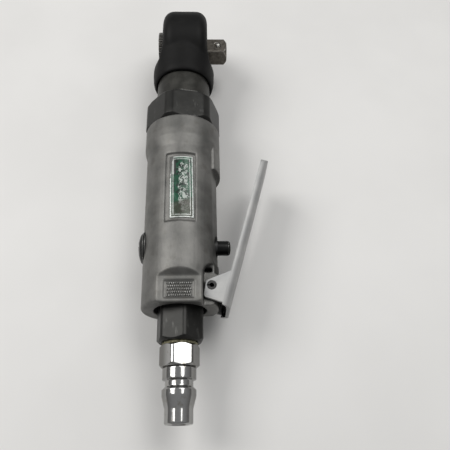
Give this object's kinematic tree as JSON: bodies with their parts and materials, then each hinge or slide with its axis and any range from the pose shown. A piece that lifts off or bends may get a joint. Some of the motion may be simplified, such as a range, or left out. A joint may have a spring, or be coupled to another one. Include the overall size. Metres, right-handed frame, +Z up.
{
  "type": "air ratchet",
  "caption": "Straight air ratchet wrench with a square drive, reversing knob, side throttle lever, clamp nut, rubber head cover and quick-coupler plug.",
  "frame": {"origin": "on the tool's long axis, at the free end of the air plug", "axes": "+Y along the tool from the plug to the ratchet head, +X the side of the square drive and the throttle lever, +Z up, towards the nameplate pad and label"},
  "size_m": [0.0566, 0.2022, 0.039],
  "materials": {
    "cast_aluminium": "tumbled matte casting, slightly stained",
    "label_foil": "printed foil, scratched",
    "black_oxide_steel": "black oxide, worn on the edges",
    "head_steel": "dark phosphated steel",
    "cover_rubber": "moulded rubber, matt",
    "gear_steel": "machined and hardened",
    "ground_steel": "ground",
    "iron_plate": "machined iron",
    "vane_composite": "resin-bonded cloth",
    "plug_chrome": "bright plating",
    "thread_tape": "dried sealing tape",
    "soft_washer": "soft washer",
    "brass": "turned",
    "bronze": "sintered bronze",
    "cap_steel": "black oxide",
    "seal_rubber": "matt",
    "spring_steel": "drawn wire or strip",
    "button_steel": "black oxide",
    "lever_steel": "dull nickel on pressed sheet",
    "drive_steel": "dark hardened steel, bright worn edges",
    "ball_steel": "polished"
  },
  "bodies": {
    "housing": {"motor_housing": "cast_aluminium", "data_label": "label_foil", "clamp_nut": "black_oxide_steel", "ratchet_head": "head_steel", "head_cover": "cover_rubber", "ring_gear": "gear_steel", "cylinder_liner": "ground_steel", "rear_plate": "iron_plate", "front_plate": "iron_plate", "rear_bearing": "ground_steel", "front_bearing": "ground_steel", "thrust_plate": "ground_steel", "crank_bearing": "ground_steel", "thrust_washer": "ground_steel", "inlet_bushing": "black_oxide_steel", "inlet_washer": "soft_washer", "air_strainer": "brass", "coupler_plug": "plug_chrome", "thread_tape": "thread_tape", "valve_cap": "cap_steel", "valve_cap_seal": "seal_rubber", "valve_seat": "brass", "button_bush": "brass", "stem_seal": "seal_rubber", "valve_spring": "spring_steel", "lever_pin": "spring_steel", "anvil_washer": "ground_steel", "retaining_ring": "ground_steel"},
    "rotor": {"rotor": "gear_steel", "vane_1": "vane_composite", "vane_2": "vane_composite", "vane_3": "vane_composite", "vane_4": "vane_composite", "vane_5": "vane_composite"},
    "crankshaft": {"crankshaft": "gear_steel", "planet_pin_1": "ground_steel", "planet_pin_2": "ground_steel", "planet_pin_3": "ground_steel"},
    "planet_1": {"planet_gear_1": "gear_steel"},
    "planet_2": {"planet_gear_2": "gear_steel"},
    "planet_3": {"planet_gear_3": "gear_steel"},
    "bushing": {"drive_bushing": "bronze"},
    "yoke": {"ratchet_yoke": "gear_steel"},
    "anvil": {"anvil": "drive_steel", "pawl_pin": "ground_steel", "ball_spring": "spring_steel"},
    "pawl": {"pawl": "gear_steel"},
    "knob": {"reverse_knob": "drive_steel", "knob_plunger": "ground_steel", "plunger_spring": "spring_steel"},
    "detent_ball": {"detent_ball": "ball_steel"},
    "valve": {"valve_stem": "button_steel", "valve_disc": "seal_rubber"},
    "lever": {"throttle_lever": "lever_steel"}
  },
  "joints": [
    {"name": "crank_spin", "type": "hinge", "parent": "housing", "child": "crankshaft", "pos_m": [0, 0.14, 0], "axis": [0, 1, 0], "continuous": true},
    {"name": "rotor_spin", "type": "hinge", "parent": "housing", "child": "rotor", "pos_m": [0, 0.0965, 0], "axis": [0, 1, 0], "continuous": true},
    {"name": "planet_spin_1", "type": "hinge", "parent": "crankshaft", "child": "planet_1", "pos_m": [0, 0.1204, -0.00735], "axis": [0, 1, 0], "continuous": true},
    {"name": "planet_spin_2", "type": "hinge", "parent": "crankshaft", "child": "planet_2", "pos_m": [-0.00637, 0.1204, 0.00367], "axis": [0, 1, 0], "continuous": true},
    {"name": "planet_spin_3", "type": "hinge", "parent": "crankshaft", "child": "planet_3", "pos_m": [0.00637, 0.1204, 0.00367], "axis": [0, 1, 0], "continuous": true},
    {"name": "bushing_spin", "type": "hinge", "parent": "crankshaft", "child": "bushing", "pos_m": [0.0014, 0.1645, 0], "axis": [0, 1, 0], "continuous": true},
    {"name": "yoke_rock", "type": "hinge", "parent": "housing", "child": "yoke", "pos_m": [0, 0.1827, 0], "axis": [-1, 0, 0], "range_deg": [-4.41, 4.41]},
    {"name": "anvil_spin", "type": "hinge", "parent": "housing", "child": "anvil", "pos_m": [0, 0.1827, 0], "axis": [1, 0, 0], "continuous": true},
    {"name": "knob_turn", "type": "hinge", "parent": "anvil", "child": "knob", "pos_m": [-0.013, 0.1827, 0], "axis": [1, 0, 0], "range_deg": [0, 40]},
    {"name": "pawl_rock", "type": "hinge", "parent": "anvil", "child": "pawl", "pos_m": [0, 0.1827, 0.007], "axis": [1, 0, 0], "range_deg": [-16, 0]},
    {"name": "ball_press", "type": "slide", "parent": "anvil", "child": "detent_ball", "axis": [0, 0, -1], "range_m": [0, 0.0008], "stiffness_N_per_m": 1500, "springref_m": -0.0004, "deforming": ["ball_spring"]},
    {"name": "lever_press", "type": "hinge", "parent": "housing", "child": "lever", "pos_m": [0.0126, 0.0498, 0], "axis": [0, 0, 1], "range_deg": [0, 17.4], "stiffness_Nm_per_rad": 0.15, "springref_deg": -22.92},
    {"name": "valve_press", "type": "slide", "parent": "housing", "child": "valve", "axis": [-1, 0, 0], "range_m": [0, 0.00116], "deforming": ["valve_spring"]}
  ],
  "couplings": [
    {"joint": "rotor_spin", "follows": "crank_spin", "ratio": 4.2},
    {"joint": "planet_spin_1", "follows": "crank_spin", "ratio": -2.9091},
    {"joint": "planet_spin_2", "follows": "crank_spin", "ratio": -2.9091},
    {"joint": "planet_spin_3", "follows": "crank_spin", "ratio": -2.9091},
    {"joint": "bushing_spin", "follows": "crank_spin", "ratio": -1},
    {"joint": "pawl_rock", "follows": "knob_turn", "ratio": -0.4},
    {"joint": "valve_press", "follows": "lever_press", "m_per_rad": 0.00376}
  ]
}
